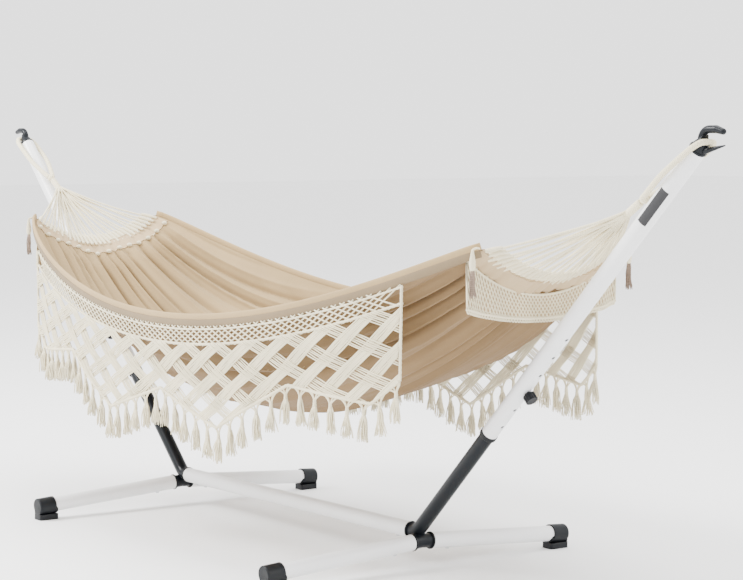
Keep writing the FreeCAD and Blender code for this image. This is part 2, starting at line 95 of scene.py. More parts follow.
class HammockSizes(bpy.types.PropertyGroup):
    """Sizes of the soft pieces."""

    cloth_width: FloatProperty(name="Cloth width", description="Cut width of the bed", default=1.3, unit="LENGTH")
    cloth_length: FloatProperty(name="Cloth length", description="Cut length of the bed", default=2.62, unit="LENGTH")
    cloth_thick: FloatProperty(name="Cloth", description="Thickness of the cloth", default=0.0016, unit="LENGTH")
    pleats: IntProperty(name="Pleats", description="Pleats gathered at each end", default=13, min=3)
    pleat_depth: FloatProperty(name="Pleat depth", description="At the ends", default=0.040, unit="LENGTH")
    hem_height: FloatProperty(name="Hem height", description="Corded side hem", default=0.036, unit="LENGTH")
    hem_thick: FloatProperty(name="Hem thickness", description="Corded side hem", default=0.009, unit="LENGTH")
    cords: IntProperty(name="Cords", description="Cords in each end's fan", default=30, min=4)
    cord_diameter: FloatProperty(name="Cord diameter", description="End cords", default=0.0062, unit="LENGTH")
    rope_diameter: FloatProperty(name="Loop diameter", description="Bound loops", default=0.0155, unit="LENGTH")
    net_drop: FloatProperty(name="Net depth", description="Fine net under the hem", default=0.046, unit="LENGTH")
    net_step: FloatProperty(name="Net step", description="Width of one mesh of the net", default=0.03, unit="LENGTH")
    lattice_high: FloatProperty(name="Lattice height", description="Height of one diamond", default=0.084, unit="LENGTH")
    band: FloatProperty(name="Band", description="Width of a knotted band", default=0.038, unit="LENGTH")
    strands: IntProperty(name="Strands", description="Cords in a band", default=7, min=2)
    scallop: FloatProperty(name="Scallop", description="From one point to the next", default=0.595, unit="LENGTH")
    diamonds: IntProperty(name="Diamonds", description="Diamonds in a scallop's width", default=4, min=2)
    shallow: FloatProperty(name="Shallow", description="Lattice depth between points", default=0.180, unit="LENGTH")
    deep: FloatProperty(name="Deep", description="Lattice depth at the points", default=0.279, unit="LENGTH")
    arch: FloatProperty(name="Arch", description="Open row over the tassels", default=0.026, unit="LENGTH")
    tassel: FloatProperty(name="Tassel", description="Length of a fringe tassel", default=0.077, unit="LENGTH")
    tassel_step: FloatProperty(name="Tassel step", description="Between fringe tassels", default=0.054, unit="LENGTH")


def colour(name, description, default):
    return FloatVectorProperty(name=name, description=description, subtype="COLOR", size=3, default=default)


class HammockColours(bpy.types.PropertyGroup):
    """Colours of the pieces, as linear values."""

    inside: colour("Cloth inside", "Upper face of the bed", (0.36, 0.252, 0.124))
    # The outside colour is partly the cloth's darker back and partly painted shade: it is darkened to stand for the
    # shade under the bed.
    outside: colour("Cloth outside", "Under face of the bed", (0.235, 0.150, 0.072))
    hem: colour("Hem", "Lower roll of the side hem", (0.215, 0.157, 0.090))
    cream: colour("Cream cord", "Macrame and end cords", (0.87, 0.785, 0.56))
    # The band colour is the end strips' own colour, and on the sheet behind the valances it is painted shade.
    band: colour("Beige band", "End strips and the cloth behind the valances", (0.50, 0.37, 0.215))
    brown: colour("Taupe tassel", "Skirts of the corner tassels", (0.32, 0.235, 0.18))
    white: colour("White paint", "Bar, legs and upper arms", (0.82, 0.82, 0.825))
    charcoal: colour("Charcoal paint", "Lower arms and hooks", (0.006, 0.0075, 0.010))
    plastic: colour("Black plastic", "Collars, caps and knobs", (0.005, 0.006, 0.0075))
    zinc: colour("Zinc", "Screws and studs", (0.62, 0.63, 0.65))
    badge: colour("Badge", "Blank badge plate", (0.030, 0.030, 0.032))
    floor: colour("Floor", "Studio floor", (0.93, 0.93, 0.93))


class HammockView(bpy.types.PropertyGroup):
    """The camera's place and lens."""

    place: FloatVectorProperty(name="Camera", description="Where it stands", size=3, subtype="XYZ",
                               default=(5.319, -3.573, 1.200), unit="LENGTH")
    azimuth: FloatProperty(name="Azimuth", description="Round from the front", default=math.radians(53.96),
                           subtype="ANGLE")
    elevation: FloatProperty(name="Elevation", description="Above the floor", default=math.radians(4.17),
                             subtype="ANGLE")
    lens: FloatProperty(name="Lens", description="Focal length in millimetres", default=104.07)


# Shapes as whole arrays


def unit(vectors):
    return vectors / np.maximum(np.linalg.norm(vectors, axis=-1, keepdims=True), 1e-12)


def steps_along(paths):
    """Distance along each path to each of its points."""
    gaps = np.linalg.norm(np.diff(paths, axis=-2), axis=-1)
    return np.concatenate([np.zeros_like(gaps[..., :1]), np.cumsum(gaps, axis=-1)], axis=-1)


def carried_up(tangents, first):
    """A side vector for each path, carried from point to point so that it never twists."""
    ups = np.empty_like(tangents)
    current = np.broadcast_to(first, tangents[:, 0].shape)
    for index in range(tangents.shape[1]):
        tangent = tangents[:, index]
        current = unit(current - (current * tangent).sum(-1, keepdims=True) * tangent)
        ups[:, index] = current
    return ups


def sweep(paths, section, up=(0.0, 0.0, 1.0), fixed_up=False, slot=0):
    """Closed tubes along paths (K, N, 3). The section is an anticlockwise outline of (side, up) pairs, the
    same for all or one per path and point. Each point is path + side * a + up * b, with end caps."""
    paths = np.asarray(paths, float)
    count, length, _ = paths.shape
    tangents = unit(np.gradient(paths, axis=1))
    if fixed_up:
        ups = np.broadcast_to(np.asarray(up, float), paths.shape)
    else:
        ups = carried_up(tangents, np.asarray(up, float))
    side = unit(np.cross(ups, tangents))
    ups = np.cross(tangents, side)
    section = np.broadcast_to(section, (count, length) + np.shape(section)[-2:])
    around = section.shape[2]
    points = paths[:, :, None] + side[:, :, None] * section[..., :1] + ups[:, :, None] * section[..., 1:]
    index = np.arange(count * length * around).reshape(count, length, around)
    following = np.roll(index, -1, axis=2)
    quads = np.stack([index[:, :-1], following[:, :-1], following[:, 1:], index[:, 1:]], axis=-1).reshape(-1, 4)
    closed = np.concatenate([section, section[:, :, :1]], axis=2)
    across = steps_along(closed)
    along = np.broadcast_to(steps_along(paths)[..., None], across.shape)
    uv = np.stack([across, along], axis=-1)
    quad_uv = np.stack([uv[:, :-1, :-1], uv[:, :-1, 1:], uv[:, 1:, 1:], uv[:, 1:, :-1]], axis=3)
    hubs = index.size + np.arange(2 * count).reshape(2, count)
    first = np.broadcast_to(hubs[0][:, None], (count, around))
    last = np.broadcast_to(hubs[1][:, None], (count, around))
    caps = np.concatenate([np.stack([first, following[:, 0], index[:, 0]], axis=-1),
                           np.stack([last, index[:, -1], following[:, -1]], axis=-1)]).reshape(-1, 3)
    verts = np.concatenate([points.reshape(-1, 3), paths[:, 0], paths[:, -1]])
    return verts, [(quads, quad_uv.reshape(-1, 4, 2), slot), (caps, np.zeros(caps.shape + (2,)), slot)]


def two_faced(top, under, slots=(0, 0)):
    """Closed sheet between two grids (N, M, 3): top facing up, under facing down, and a rim all round."""
    rows, columns, _ = top.shape
    count = rows * columns
    index = np.arange(count).reshape(rows, columns)
    along = steps_along(top.transpose(1, 0, 2)).T
    across = steps_along(top)
    uv = np.stack([across, along], axis=-1)

    def corners(grid):
        return np.stack([grid[:-1, :-1], grid[1:, :-1], grid[1:, 1:], grid[:-1, 1:]], axis=2)

    upper = corners(index).reshape(-1, 4)
    upper_uv = corners(uv).reshape(-1, 4, 2)
    lower = (corners(index) + count).reshape(-1, 4)[:, ::-1]
    edge = np.concatenate([index[:, 0][::-1], index[0, 1:], index[1:, -1], index[-1, :-1][::-1]])
    ahead = np.roll(edge, -1)
    rim = np.stack([ahead, edge, edge + count, ahead + count], axis=-1)
    rim = rim[edge != ahead]
    verts = np.concatenate([top.reshape(-1, 3), under.reshape(-1, 3)])
    uv_flat = uv.reshape(-1, 2)
    rim_uv = uv_flat[rim % count]
    return verts, [(upper, upper_uv, slots[0]), (lower, upper_uv[:, ::-1], slots[1]), (rim, rim_uv, slots[0])]


def piece(name, blocks, materials, smooth=True):
    """One mesh object from blocks of vertices and [(faces, corner uvs, material index), ...]."""
    verts, loops, totals, uvs, slots = [], [], [], [], []
    start = 0
    for block_verts, face_sets in blocks:
        for faces, face_uv, slot in face_sets:
            loops.append((faces + start).ravel())
            totals.append(np.full(len(faces), faces.shape[1]))
            uvs.append(np.asarray(face_uv, float).reshape(-1, 2))
            slots.append(np.full(len(faces), slot))
        verts.append(block_verts)
        start += len(block_verts)
    verts, loops, totals = np.concatenate(verts), np.concatenate(loops), np.concatenate(totals)
    mesh = bpy.data.meshes.new(name)
    mesh.vertices.add(len(verts))
    mesh.vertices.foreach_set("co", verts.astype(np.float32).ravel())
    mesh.loops.add(len(loops))
    mesh.loops.foreach_set("vertex_index", loops.astype(np.int32))
    mesh.polygons.add(len(totals))
    mesh.polygons.foreach_set("loop_start", (np.cumsum(totals) - totals).astype(np.int32))
    mesh.polygons.foreach_set("loop_total", totals.astype(np.int32))
    mesh.polygons.foreach_set("material_index", np.concatenate(slots).astype(np.int32))
    mesh.polygons.foreach_set("use_smooth", np.full(len(totals), smooth))
    layer = mesh.uv_layers.new(name="surface")
    layer.data.foreach_set("uv", np.concatenate(uvs).astype(np.float32).ravel())
    for material in materials:
        mesh.materials.append(material)
    mesh.update(calc_edges=True)
    mesh.validate()
    made = bpy.data.objects.new(name, mesh)
    bpy.context.scene.collection.objects.link(made)
    return made


def ring(count, radius_side, radius_up=None):
    """Anticlockwise ellipse of a section."""
    angle = np.arange(count) * TAU / count
    up = radius_side if radius_up is None else radius_up
    return np.stack([radius_side * np.cos(angle), up * np.sin(angle)], axis=-1)


def ridged_rings(distance, radius, sides, pitch, depth, turns=1):
    """Round sections whose radius swells and dips along a helix, as bound cord does. The radius is
    radius - depth * (1 - |sin(pi * (distance / pitch - turns * angle / circle))|)."""
    angle = np.arange(sides) * TAU / sides
    phase = np.asarray(distance)[..., None] / pitch - turns * angle / TAU
    swell = np.asarray(radius)[..., None] - depth * (1 - np.abs(np.sin(math.pi * phase)))
    return np.stack([swell * np.cos(angle), swell * np.sin(angle)], axis=-1)


def smooth_path(points, count, rounds=3):
    """Even points along a polyline whose corners are cut back a few times, a quarter of each run at a time."""
    line = np.asarray(points, float)
    for _ in range(rounds):
        near = line[:-1] * 0.75 + line[1:] * 0.25
        far = line[:-1] * 0.25 + line[1:] * 0.75
        middle = np.stack([near, far], axis=1).reshape(-1, 3)
        line = np.concatenate([line[:1], middle, line[-1:]])
    distance = steps_along(line)
    even = np.linspace(0, distance[-1], count)
    return np.stack([np.interp(even, distance, line[:, axis]) for axis in range(3)], axis=-1)


def to_end(points, end):
    """The same points at the other end of the hammock."""
    return points * np.array([end, 1.0, 1.0])


# The bed's shape


def half_width(share):
    return END_HALF + (MID_HALF - END_HALF) * np.clip(1 - share**2, 0, 1) ** 0.75


def edge_rise(share):
    return END_RISE + (MID_RISE - END_RISE) * (1 - share**2)


def centre_z(share):
    return MID_Z + (END_Z - MID_Z) * share**2


def edge_z(share):
    return centre_z(share) + edge_rise(share)


def bed_surface(x, across):
    """Plain bed: a round arc across, from side to side through the centre line. A point at share v of the
    arc's half angle stands at radius * sin(v * angle) across and radius * (1 - cos(v * angle)) up."""
    share = x / BED_X
    half = half_width(share) - EDGE_GAP
    rise = edge_rise(share)
    radius = (half**2 + rise**2) / (2 * rise)
    angle = across * np.arcsin(np.clip(half / radius, -1, 1))
    return np.stack([x, radius * np.sin(angle), centre_z(share) + radius * (1 - np.cos(angle))], axis=-1)


def bed_normals(x, across, gap=1e-3):
    ahead = bed_surface(x + gap, across) - bed_surface(x - gap, across)
    aside = bed_surface(x, across + gap) - bed_surface(x, across - gap)
    return unit(np.cross(ahead, aside))


def pleat_height(x, across, sizes):
    """Height of the pleats over the plain bed. Folds fan out straight from each end: a point's place in the
    fan is its distance across divided by the fan's width there. Every whole number of that place carries a
    narrow valley and every half a narrow ridge, each a bell curve with its own depth and its own reach."""
    y = across * half_width(x / BED_X)
    total = np.zeros_like(x * across)
    for end in ENDS.values():
        away = np.maximum(BED_X - end * x, 0)
        fan_half = END_HALF * (1 + 0.95 * away)
        spacing = 2 * fan_half / sizes.pleats
        place = y / spacing
        place = place + 0.25 * np.sin(1.45 * place + end) + 0.25 * end
        rising = 0.12 + 0.88 * np.clip((away - 0.035) / 0.08, 0, 1)
        for shift, sign, share in ((0.0, -1.0, 0.75 - 0.25 * end), (0.5, 1.0, 0.75 + 0.25 * end)):
            number = np.round(place + shift)
            gap = (place + shift - number) * spacing
            chance = 0.5 + 0.5 * np.sin(number * 2.9 + 1.3 * end + 4 * shift)
            reach = 0.42 + 1.0 * (0.5 + 0.5 * np.sin(number * 4.7 + 2 * end + shift)) ** 1.3
            fade = np.exp(-((away / reach) ** 2))
            width = 0.0050 + 0.0032 * away
            shape = np.exp(-(np.abs(gap / width) ** 1.3)) - 0.2
            total += sign * share * sizes.pleat_depth * (0.5 + 0.5 * chance) * fade * rising * shape
        slow = np.sin(6.8 * y / fan_half + 0.8 * end) * np.exp(-(((away - 0.45) / 0.5) ** 2))
        total += 0.010 * slow
    return total * (1 - np.abs(across) ** 7)


def pleated(x, across, sizes, lift=0.0):
    normal = bed_normals(x, across)
    height = pleat_height(x, across, sizes) + lift
    return bed_surface(x, across) + normal * height[..., None]


def fringe_place(x, drop, side, sizes, out=0.0):
    """A point of a hanging fringe: under the hem at x, down by drop, and outwards by out. The sheet waves
    gently, more towards its lower edge. A drop of 0 is just under the hem."""
    share = x / BED_X
    total = sizes.deep + sizes.arch + sizes.tassel
    wave = 0.007 * np.sin(8.3 * x + 1.3 * side) + 0.004 * np.sin(21.0 * x + side)
    y = side * (half_width(share) + 0.004 + out + wave * drop / total)
    return np.stack([x + 0 * drop, y + 0 * drop, edge_z(share) - sizes.hem_height / 2 - 0.006 - drop], axis=-1)


def lattice_depth(x, sizes):
    """Depth of the knotted lattice at x: straight runs down to points a scallop apart."""
    share = x / sizes.scallop
    point = 1 - 2 * np.abs(share - np.floor(share) - 0.5)
    return sizes.shallow + (sizes.deep - sizes.shallow) * point**1.1


# Materials


def shader(name, base, roughness, metallic=0.0):
    """A new material and its node tree and shader."""
    material = bpy.data.materials.new(name)
    material.use_nodes = True
    tree = material.node_tree
    surface = tree.nodes["Principled BSDF"]
    surface.inputs["Base Color"].default_value = (*base, 1.0)
    surface.inputs["Roughness"].default_value = roughness
    surface.inputs["Metallic"].default_value = metallic
    return material, tree, surface


def node(tree, kind, **values):
    made = tree.nodes.new(kind)
    for key, value in values.items():
        if key in made.inputs:
            made.inputs[key].default_value = value
        else:
            setattr(made, key.lower(), value)
    return made


def coordinates(tree, output, scale, turn=0.0):
    """Object or UV coordinates through a mapping."""
    source = tree.nodes.new("ShaderNodeTexCoord")
    mapping = tree.nodes.new("ShaderNodeMapping")
    mapping.inputs["Scale"].default_value = scale
    mapping.inputs["Rotation"].default_value = (0, 0, turn)
    tree.links.new(source.outputs[output], mapping.inputs["Vector"])
    return mapping.outputs["Vector"]


def noise(tree, vector, scale, detail=3.0, roughness=0.55):
    made = node(tree, "ShaderNodeTexNoise", Scale=scale, Detail=detail, Roughness=roughness)
    tree.links.new(vector, made.inputs["Vector"])
    return made.outputs["Fac"]


def stretch(tree, value, low, high, to_low=0.0, to_high=1.0):
    """A value from one range carried to another, held at the ends."""
    made = tree.nodes.new("ShaderNodeMapRange")
    for place, number in enumerate((low, high, to_low, to_high), start=1):
        made.inputs[place].default_value = number
    tree.links.new(value, made.inputs[0])
    return made.outputs[0]


def blended(tree, factor, first, second):
    """Colour between two colours."""
    made = tree.nodes.new("ShaderNodeMix")
    made.data_type = "RGBA"
    made.inputs[6].default_value = (*first, 1.0)
    made.inputs[7].default_value = (*second, 1.0)
    tree.links.new(factor, made.inputs[0])
    return made.outputs[2]


def combined(tree, operation, first, second):
    made = tree.nodes.new("ShaderNodeMath")
    made.operation = operation
    for place, value in enumerate((first, second)):
        if isinstance(value, (int, float)):
            made.inputs[place].default_value = value
        else:
            tree.links.new(value, made.inputs[place])
    return made.outputs[0]


def stripes(tree, vector, period, direction="X", distortion=0.0):
    """Soft stripes, a period apart. The wave texture's own period is a twentieth of a turn over its scale."""
    made = node(tree, "ShaderNodeTexWave", Scale=TAU / 20 / period, Distortion=distortion)
    made.bands_direction = direction
    made.inputs["Detail"].default_value = 1.0
    tree.links.new(vector, made.inputs["Vector"])
    return made.outputs["Fac"]


def bumped(tree, surface, height, distance, strength=1.0):
    made = tree.nodes.new("ShaderNodeBump")
    made.inputs["Strength"].default_value = strength
    made.inputs["Distance"].default_value = distance
    tree.links.new(height, made.inputs["Height"])
    tree.links.new(made.outputs["Normal"], surface.inputs["Normal"])


def shade(base, factor):
    return tuple(min(1.0, channel * factor) for channel in base)


def cloth_material(name, base, thread=0.0022, sheen=0.06):
    """Plain weave: threads both ways at the thread's width, slubs, and faint patches of tone."""
    material, tree, surface = shader(name, base, 0.88)
    surface.inputs["Sheen Weight"].default_value = sheen
    surface.inputs["Sheen Roughness"].default_value = 0.5
    surface.inputs["Specular IOR Level"].default_value = 0.25
    uv = coordinates(tree, "UV", (1, 1, 1))
    warp = stripes(tree, uv, thread, "X", 0.6)
    weft = stripes(tree, uv, thread, "Y", 0.6)
    weave = combined(tree, "MAXIMUM", warp, weft)
    slub = noise(tree, coordinates(tree, "UV", (14, 420, 1)), 1.0, 2.0)
    patches = noise(tree, coordinates(tree, "Object", (1, 1, 1)), 3.2, 4.0)
    tone = combined(tree, "ADD", stretch(tree, slub, 0.3, 0.7, 0, 0.35), stretch(tree, patches, 0.35, 0.65, 0, 0.65))
    tree.links.new(blended(tree, tone, shade(base, 0.90), shade(base, 1.06)), surface.inputs["Base Color"])
    height = combined(tree, "ADD", weave, slub)
    bumped(tree, surface, height, 0.0005, 0.5)
    return material


def cord_material(name, base, twist=0.005, sheen=0.08):
    """Twisted cotton: slanting strands round the cord, loose fibres, uneven tone, and painted shade darkening the
    grooves between the strands.
    """
    material, tree, surface = shader(name, base, 0.9)
    surface.inputs["Sheen Weight"].default_value = sheen
    surface.inputs["Specular IOR Level"].default_value = 0.2
    slant = coordinates(tree, "UV", (1, 1, 1), math.radians(38))
    strands = stripes(tree, slant, twist, "Y", 0.8)
    fibres = noise(tree, coordinates(tree, "Object", (1, 1, 1)), 420.0, 2.0)
    patches = noise(tree, coordinates(tree, "Object", (1, 1, 1)), 9.0, 3.0)
    # The strands' stripes also darken the colour in the grooves between strands: painted shade. The patches are random
    # tone.
    tone = combined(tree, "ADD", stretch(tree, strands, 0, 1, 0, 0.5), stretch(tree, patches, 0.35, 0.65, 0, 0.5))
    tree.links.new(blended(tree, tone, shade(base, 0.80), shade(base, 1.05)), surface.inputs["Base Color"])
    bumped(tree, surface, combined(tree, "ADD", strands, combined(tree, "MULTIPLY", fibres, 0.4)), 0.0012, 0.7)
    return material


def paint_material(name, base, roughness, coat, specular):
    """Powder coat: fine orange peel, faint unevenness of gloss and a little dust in the tone."""
    material, tree, surface = shader(name, base, roughness)
    surface.inputs["Coat Weight"].default_value = coat
    surface.inputs["Specular IOR Level"].default_value = specular
    surface.inputs["Coat Roughness"].default_value = 0.18
    place = coordinates(tree, "Object", (1, 1, 1))
    peel = noise(tree, place, 260.0, 2.0)
    wear = noise(tree, place, 7.0, 5.0)
    tree.links.new(stretch(tree, wear, 0.3, 0.7, roughness * 0.85, roughness * 1.25), surface.inputs["Roughness"])
    tree.links.new(blended(tree, stretch(tree, wear, 0.35, 0.75), shade(base, 1.0), shade(base, 0.95)),
                   surface.inputs["Base Color"])
    bumped(tree, surface, peel, 0.0001, 0.2)
    return material


def plastic_material(name, base):
    """Moulded plastic: leathery grain and slightly rubbed high spots."""
    material, tree, surface = shader(name, base, 0.48)
    surface.inputs["Specular IOR Level"].default_value = 0.2
    place = coordinates(tree, "Object", (1, 1, 1))
    grain = noise(tree, place, 900.0, 2.0)
    rubbed = noise(tree, place, 22.0, 4.0)
    tree.links.new(stretch(tree, rubbed, 0.35, 0.7, 0.38, 0.56), surface.inputs["Roughness"])
    tree.links.new(blended(tree, stretch(tree, rubbed, 0.4, 0.8), base, shade(base, 1.5)), surface.inputs["Base Color"])
    bumped(tree, surface, grain, 0.0002, 0.35)
    return material


def metal_material(name, base):
    """Zinc plate: fine brushed streaks and dull spots."""
    material, tree, surface = shader(name, base, 0.3, 1.0)
    streaks = noise(tree, coordinates(tree, "Object", (60, 900, 900)), 1.0, 3.0)
    spots = noise(tree, coordinates(tree, "Object", (1, 1, 1)), 120.0, 3.0)
    tree.links.new(stretch(tree, spots, 0.35, 0.7, 0.24, 0.42), surface.inputs["Roughness"])
    bumped(tree, surface, streaks, 0.0001, 0.3)
    return material


def badge_material(name, base):
    """Satin film with faint scuffs."""
    material, tree, surface = shader(name, base, 0.4)
    surface.inputs["Specular IOR Level"].default_value = 0.2
    scuffs = noise(tree, coordinates(tree, "Object", (30, 300, 300)), 1.0, 4.0)
    tree.links.new(stretch(tree, scuffs, 0.35, 0.7, 0.34, 0.52), surface.inputs["Roughness"])
    bumped(tree, surface, scuffs, 0.0001, 0.2)
    return material


def floor_material(name, base):
    """Pale studio floor with the faintest tone."""
    material, tree, surface = shader(name, base, 0.75)
    tone = noise(tree, coordinates(tree, "Object", (1, 1, 1)), 0.8, 2.0)
    tree.links.new(blended(tree, tone, base, shade(base, 0.985)), surface.inputs["Base Color"])
    return material


def finish(name):
    """The material of a finish, made the first time that it is asked for."""
    if name in bpy.data.materials:
        return bpy.data.materials[name]
    colours = bpy.context.scene.hammock_colours
    makers = {
        "cloth inside": lambda: cloth_material(name, colours.inside),
        # The outside finish is darker partly by its own colour and partly as painted shade.
        "cloth outside with painted shade": lambda: cloth_material(name, colours.outside),
        "corded hem": lambda: cloth_material(name, colours.hem, 0.003),
        # The hem rim is the inside cloth colour raised by 1.12: painted light on the upper roll.
        "hem rim with painted light": lambda: cloth_material(name, shade(colours.inside, 1.12), 0.003),
        # The end band finish is the strips' own colour, and painted shade on the sheet behind the valances.
        "end band and painted valance shade": lambda: cloth_material(name, colours.band, 0.003),
        "cream cord": lambda: cord_material(name, colours.cream),
        "macrame cord": lambda: cord_material(name, colours.cream, 0.0035),
        "taupe strands": lambda: cord_material(name, colours.brown, 0.004),
        "white paint": lambda: paint_material(name, colours.white, 0.34, 0.3, 0.35),
        "charcoal paint": lambda: paint_material(name, colours.charcoal, 0.34, 0.1, 0.12),
        "black plastic": lambda: plastic_material(name, colours.plastic),
        "zinc plate": lambda: metal_material(name, colours.zinc),
        "badge film": lambda: badge_material(name, colours.badge),
        "studio floor": lambda: floor_material(name, colours.floor),
    }
    return makers[name]()


SLOT_FINISHES = {
    "white_paint": "white paint",
    "charcoal_paint": "charcoal paint",
    "black_plastic": "black plastic",
    "zinc_steel": "zinc plate",
    "badge_grey": "badge film",
}


class Step(bpy.types.Operator):
    """What every building step shares."""

    bl_options = {"REGISTER", "UNDO"}

    def settings(self, context):
        return context.scene.hammock_sizes


class HAMMOCK_OT_stand(Step):
    """Give every solid of the stand its finish, from its material slot"""

    bl_idname = "hammock.stand"
    bl_label = "Stand finishes"

    def execute(self, context):
        for part in frame["record"]["subparts"]:
            chosen = SLOT_FINISHES.get(part["material_slot"])
            if chosen is None:
                continue
            solid = frame["nodes"][part["node"]]
            for place in solid.material_slots:
                place.material = finish(chosen)
        return {"FINISHED"}


class HAMMOCK_OT_bed(Step):
    """Bed cloth with gathered pleats, light inside and darker outside, under what is sewn on it. The darker outside is
    partly the cloth's own back and partly painted shade on the belly.
    """

    bl_idname = "hammock.bed"
    bl_label = "Bed cloth"

    def execute(self, context):
        sizes = self.settings(context)
        turn = np.linspace(-1, 1, 150)
        x = (BED_X - 0.001) * (0.65 * np.sin(turn * math.pi / 2) + 0.35 * turn)
        grid_x, grid_v = np.meshgrid(x, np.linspace(-1, 1, 291), indexing="ij")
        block = two_faced(pleated(grid_x, grid_v, sizes), pleated(grid_x, grid_v, sizes, -sizes.cloth_thick), (0, 1))
        cloth = piece("bed_cloth_pleated", [block], [finish("cloth inside"), finish("cloth outside with painted shade")])
        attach(cloth, "bed")
        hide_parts("bed_cloth")
        return {"FINISHED"}


class HAMMOCK_OT_hems(Step):
    """Corded hems along both side edges"""

    bl_idname = "hammock.hems"
    bl_label = "Side hems"

    def execute(self, context):
        sizes = self.settings(context)
        x = np.linspace(-BED_X, BED_X, 181)
        share = x / BED_X
        angle = np.arange(16) * TAU / 16
        rounded = np.stack([np.sign(np.cos(angle)) * np.abs(np.cos(angle)) ** 0.7,
                            np.sign(np.sin(angle)) * np.abs(np.sin(angle)) ** 0.7], axis=-1)
        lower = rounded * (sizes.hem_thick / 2, sizes.hem_height * 0.30)
        upper = rounded * (sizes.hem_thick * 0.54, sizes.hem_height * 0.27)
        for side_name, side in SIDES.items():
            line = np.stack([x, side * half_width(share), edge_z(share) - 0.003 + 0 * x], axis=-1)
            low_line = line - np.array([0, 0, sizes.hem_height * 0.22])
            high_line = line + np.array([0, 0, sizes.hem_height * 0.25])
            # The upper roll takes the hem rim finish, whose lighter colour is painted light.
            blocks = [sweep(low_line[None], lower), sweep(high_line[None], upper, slot=1)]
            hem = piece("hem_" + side_name + "_corded", blocks, [finish("corded hem"), finish("hem rim with painted light")])
            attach(hem, "bed")
            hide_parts("hem_" + side_name)
        return {"FINISHED"}


class HAMMOCK_OT_end_strips(Step):
    """Doubled bands over the bed's ends, and the netted valances under them"""

    bl_idname = "hammock.end_strips"
    bl_label = "End strips and valances"

    def execute(self, context):
        sizes = self.settings(context)
        for end_name, end in ENDS.items():
            x = np.sort(end * np.linspace(STRIP_X, BED_X + 0.0015, 12))
            grid_x, grid_v = np.meshgrid(x, np.linspace(-0.985, 0.985, 151), indexing="ij")
            band = two_faced(pleated(grid_x, grid_v, sizes, 0.0022), pleated(grid_x, grid_v, sizes, -0.0042))
            across = np.linspace(-0.93, 0.93, 14)
            knots = pleated(np.full(14, end * STRIP_X), across, sizes, 0.004)
            turn = np.linspace(-1, 1, 9)
            bulge = ridged_rings(0.010 * turn, 0.0005 + 0.0078 * np.sqrt(1 - turn**2), 8, 0.006, 0.0014)
            buds = sweep(knots[:, None] + np.array([0, 1, 0]) * 0.010 * turn[:, None], bulge, slot=1)
            strip = piece("end_strip_" + end_name + "_band", [band, buds], [finish("end band and painted valance shade"), finish("macrame cord")])
            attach(strip, "bed")
            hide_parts("end_strip_" + end_name)
            self.valance(end_name, end, sizes)
        return {"FINISHED"}

    def valance(self, end_name, end, sizes):
        """Beige sheet that hangs from the strip's inner edge, with two crossing sets of cords over it and a knotted
        cord with picots along its lower edge. The sheet is painted shade: it stands where only shade falls. It is
        deeper towards the corners."""

        def lower(across):
            return 0.062 + 0.068 * across**2

        def place(across, drop, out=0.0):
            point = bed_surface(np.full(np.shape(across), end * STRIP_X), across)
            fold = 0.003 * np.sin(across * 19.0) * drop / 0.07
            return point + np.stack([end * (0.003 + out + fold), 0 * drop, -0.004 - drop], axis=-1)

        across, share = np.meshgrid(np.linspace(-0.97, 0.97, 121), np.linspace(0, 1, 9), indexing="ij")
        drop = lower(across) * share
        # The beige sheet behind the cords is painted shade, put where only shade falls.
        faces = (place(across, drop, -0.0008), place(across, drop, 0.0008))
        band = two_faced(*(faces if end < 0 else faces[::-1]), slots=(1, 1))
        facing = (0.01, 0, end)
        start = np.linspace(-1.15, 1.15, 58)
        share = np.linspace(0, 1, 8)
        blocks = [band]
        for lean in (-1, 1):
            across = start[:, None] + lean * 0.16 * share
            across = across[(np.abs(across) < 0.965).any(axis=1)].clip(-0.965, 0.965)
            drop = lower(across) * share
            blocks.append(sweep(place(across, drop, 0.0022 + lean * 0.0008), ring(5, 0.0017), (0, 0, 1)))
        across = np.linspace(-0.975, 0.975, 300)
        for depth, radius in ((lower(across), 0.0042), (0 * across + 0.002, 0.0036)):
            line = place(across, depth, 0.002)
            rings = ridged_rings(steps_along(line), np.full(300, radius), 7, 0.0075, radius * 0.35)
            blocks.append(sweep(line[None], rings[None], (0, 0, 1)))
        loops = np.linspace(0, math.pi, 6)
        middle = np.linspace(-0.95, 0.95, 64)
        across = middle[:, None] + 0.013 * np.cos(loops)
        picots = place(across, lower(across) + 0.002 + 0.008 * np.sin(loops), 0.001)
        blocks.append(sweep(picots, ring(5, 0.0019), (0, 0, 1)))
        net = piece("end_valance_" + end_name + "_net", blocks, [finish("macrame cord"), finish("end band and painted valance shade")])
        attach(net, "bed")
        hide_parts("end_valance_" + end_name)


